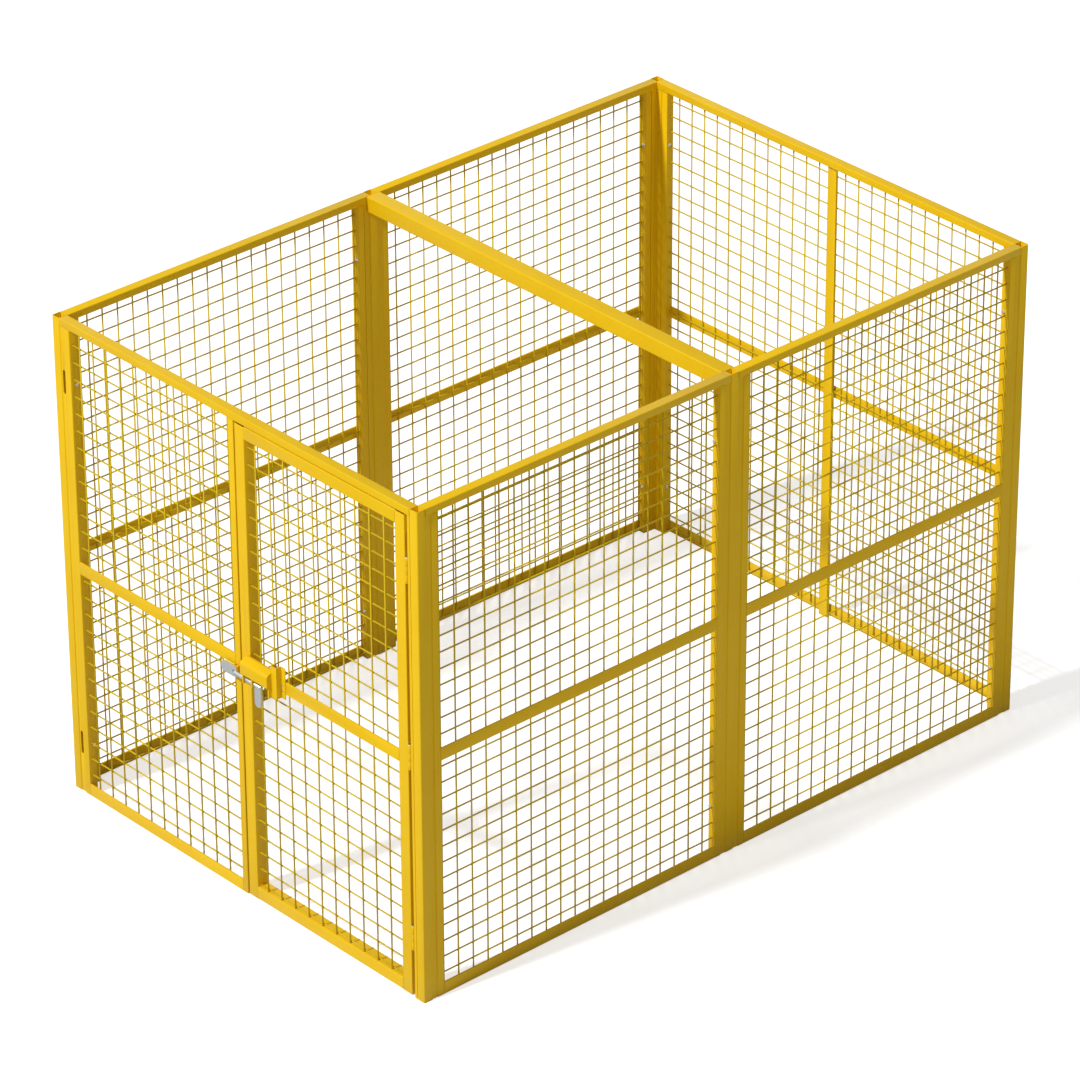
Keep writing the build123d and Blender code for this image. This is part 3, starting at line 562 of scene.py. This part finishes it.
# ---- weld beads ----------------------------------------------------------------------------------
def weld_bead_tree():
    """A coated bead along each loose edge: rings that swell and shrink by the welder's ripple."""
    tree, given = new_tree("weld_bead", [
        ("Radius", "Float"), ("Ripple", "Float"), ("Seed", "Int"), ("Finish", "Material")])
    path = add(tree, "GeometryNodeMeshToCurve", {"Mesh": given["Geometry"]})
    spacing = add(tree, "ShaderNodeMath", {0: given["Ripple"], 1: RING_SPACING}, operation="MULTIPLY")
    rings = add(tree, "GeometryNodeResampleCurve", {"Curve": path, "Length": spacing}, mode="LENGTH")
    along = add(tree, "GeometryNodeSplineParameter").outputs["Length"]
    turned = add(tree, "ShaderNodeMath", {0: along, 1: 2 * math.pi}, operation="MULTIPLY")
    ripples = add(tree, "ShaderNodeMath", {0: turned, 1: given["Ripple"]}, operation="DIVIDE")
    wave = add(tree, "ShaderNodeMath", {0: ripples}, operation="SINE")
    swell = add(tree, "ShaderNodeMath", {0: wave, 1: RIPPLE_SWELL, 2: 1.0}, operation="MULTIPLY_ADD")
    least, most = BEAD_UNEVEN
    uneven = add(tree, "FunctionNodeRandomValue", {
        2: least, 3: most, "Seed": given["Seed"]}, data_type="FLOAT").outputs[1]
    thickness = add(tree, "ShaderNodeMath", {0: uneven, 1: swell}, operation="MULTIPLY")
    profile = add(tree, "GeometryNodeCurvePrimitiveCircle", {"Resolution": 8, "Radius": given["Radius"]})
    bead = add(tree, "GeometryNodeCurveToMesh", {
        "Curve": rings, "Profile Curve": profile, "Scale": thickness, "Fill Caps": True})
    smooth = add(tree, "GeometryNodeSetShadeSmooth", {"Geometry": bead})
    add(tree, "NodeGroupOutput", {0: finished(tree, smooth, given["Finish"])})
    return tree


def bead_lines():
    """Root lines of the welds, by body: behind both ends of each flat bar and of the keeper, where
    the panels' stiles and the door's stiles meet the rails, and beside the latch's bracket."""
    lines = {"cage": [], "door": []}

    def line(node, wall, start, end):
        place = wall_place(node, wall)[0]
        lines[BODY_OF[node]].append((place @ Vector(start), place @ Vector(end)))

    def lines_behind_ends(node, wall):
        _, across, deep, upwards = wall_place(node, wall)
        for u in (0, across):
            line(node, wall, (u, deep, BEAD_INSET), (u, deep, upwards - BEAD_INSET))

    for sheet, wall, *_ in SHEETS:
        panel = sheet.removesuffix("_mesh")
        lines_behind_ends(f"{panel}_mid_rail", wall)
        if panel != "door":
            lines_behind_ends(f"{panel}_bottom_rail", wall)
            _, across, deep, upwards = wall_place(f"{panel}_stiles", wall)
            for u in (STILE_FACE, across - STILE_FACE):
                line(f"{panel}_stiles", wall, (u, BEAD_INSET, upwards), (u, deep - BEAD_INSET, upwards))
    for rail, over in (("door_bottom_rail", True), ("door_top_rail", False)):
        _, across, deep, upwards = wall_place(rail, "front")
        z = upwards if over else 0
        for u in (0, across):
            line(rail, "front", (u, BEAD_INSET, z), (u, deep - BEAD_INSET, z))
    lines_behind_ends("latch_keeper", "front")
    # The latch's hat-section bracket is welded to the hood's end plate along its front corner.
    _, _, _, upwards = wall_place("latch_bracket", "front")
    line("latch_bracket", "front", (0, 0, BEAD_INSET), (0, 0, BRACKET_SEAM * upwards))
    return lines


bead_tree = weld_bead_tree()
for seed, (body, lines) in enumerate(bead_lines().items()):
    roots = bpy.data.meshes.new(f"{body}_bead_roots")
    edges = [(2 * i, 2 * i + 1) for i in range(len(lines))]
    roots.from_pydata([end for line in lines for end in line], edges, [])
    sizes = {"Seed": seed, "Finish": COAT, **BEAD}
    fit(grown(f"{body}_weld_beads", bead_tree, sizes, start=roots), body, "yellow_coat")


# ---- floor, light and camera ---------------------------------------------------------------------
def pale_floor():
    """Matt white studio floor that runs into the backdrop and keeps a light shadow."""
    material, tree = new_material("matt_white_floor")
    seen = add(tree, "ShaderNodeLightPath").outputs["Is Camera Ray"]
    strength = add(tree, "ShaderNodeMath", {0: seen, 1: FLOOR_GLOW}, operation="MULTIPLY")
    glow = add(tree, "ShaderNodeEmission", {"Color": (1, 1, 1, 1), "Strength": strength})
    matt = add(tree, "ShaderNodeBsdfDiffuse", {"Color": (FLOOR_SHADE, FLOOR_SHADE, FLOOR_SHADE, 1)})
    both = add(tree, "ShaderNodeAddShader", {0: glow, 1: matt})
    add(tree, "ShaderNodeOutputMaterial", {"Surface": both})
    mesh = bpy.data.meshes.new("studio_floor")
    corners = [(x * FLOOR_REACH, y * FLOOR_REACH, 0) for x, y in ((-1, -1), (1, -1), (1, 1), (-1, 1))]
    mesh.from_pydata(corners, [], [(0, 1, 2, 3)])
    mesh.materials.append(material)
    floor = bpy.data.objects.new("studio_floor", mesh)
    scene.collection.objects.link(floor)


def studio_light():
    """An even white sky, and one soft lamp from the front, at about 45 degrees."""
    world = bpy.data.worlds.new("white_studio")
    world.use_nodes = True
    scene.world = world
    tree = world.node_tree
    tree.nodes.clear()
    ray = add(tree, "ShaderNodeLightPath").outputs
    shiny = add(tree, "ShaderNodeMath", {
        0: ray["Is Glossy Ray"], 1: ray["Is Transmission Ray"]}, operation="MAXIMUM")
    seen = add(tree, "ShaderNodeMath", {0: ray["Is Camera Ray"], 1: shiny}, operation="MAXIMUM")
    level = add(tree, "ShaderNodeMapRange", {"Value": seen, "To Min": SKY_LEVEL, "To Max": SKY_SEEN})
    sky = add(tree, "ShaderNodeBackground", {"Color": (1, 1, 1, 1), "Strength": level})
    add(tree, "ShaderNodeOutputWorld", {"Surface": sky})
    lamp = bpy.data.lights.new("key_lamp", "SUN")
    lamp.energy = LAMP_LEVEL
    lamp.angle = LAMP_WIDTH
    key = bpy.data.objects.new("key_lamp", lamp)
    key.rotation_mode = "QUATERNION"
    key.rotation_quaternion = LAMP_FROM.to_track_quat("Z", "Y")
    scene.collection.objects.link(key)


def set_camera():
    """The camera that looks down at the door and the right wall from the front right."""
    lens = bpy.data.cameras.new("camera")
    lens.lens = LENS
    lens.sensor_width = SENSOR
    lens.clip_end = CAMERA_REACH
    camera = bpy.data.objects.new("camera", lens)
    forward = CAMERA_FORWARD.normalized()
    right = forward.cross(CAMERA_UP).normalized()
    turn = Matrix((right, right.cross(forward), -forward)).transposed().to_4x4()
    camera.matrix_world = Matrix.Translation(CAMERA_PLACE) @ turn
    scene.collection.objects.link(camera)
    scene.camera = camera


pale_floor()
studio_light()
set_camera()
scene.view_settings.view_transform = "Standard"
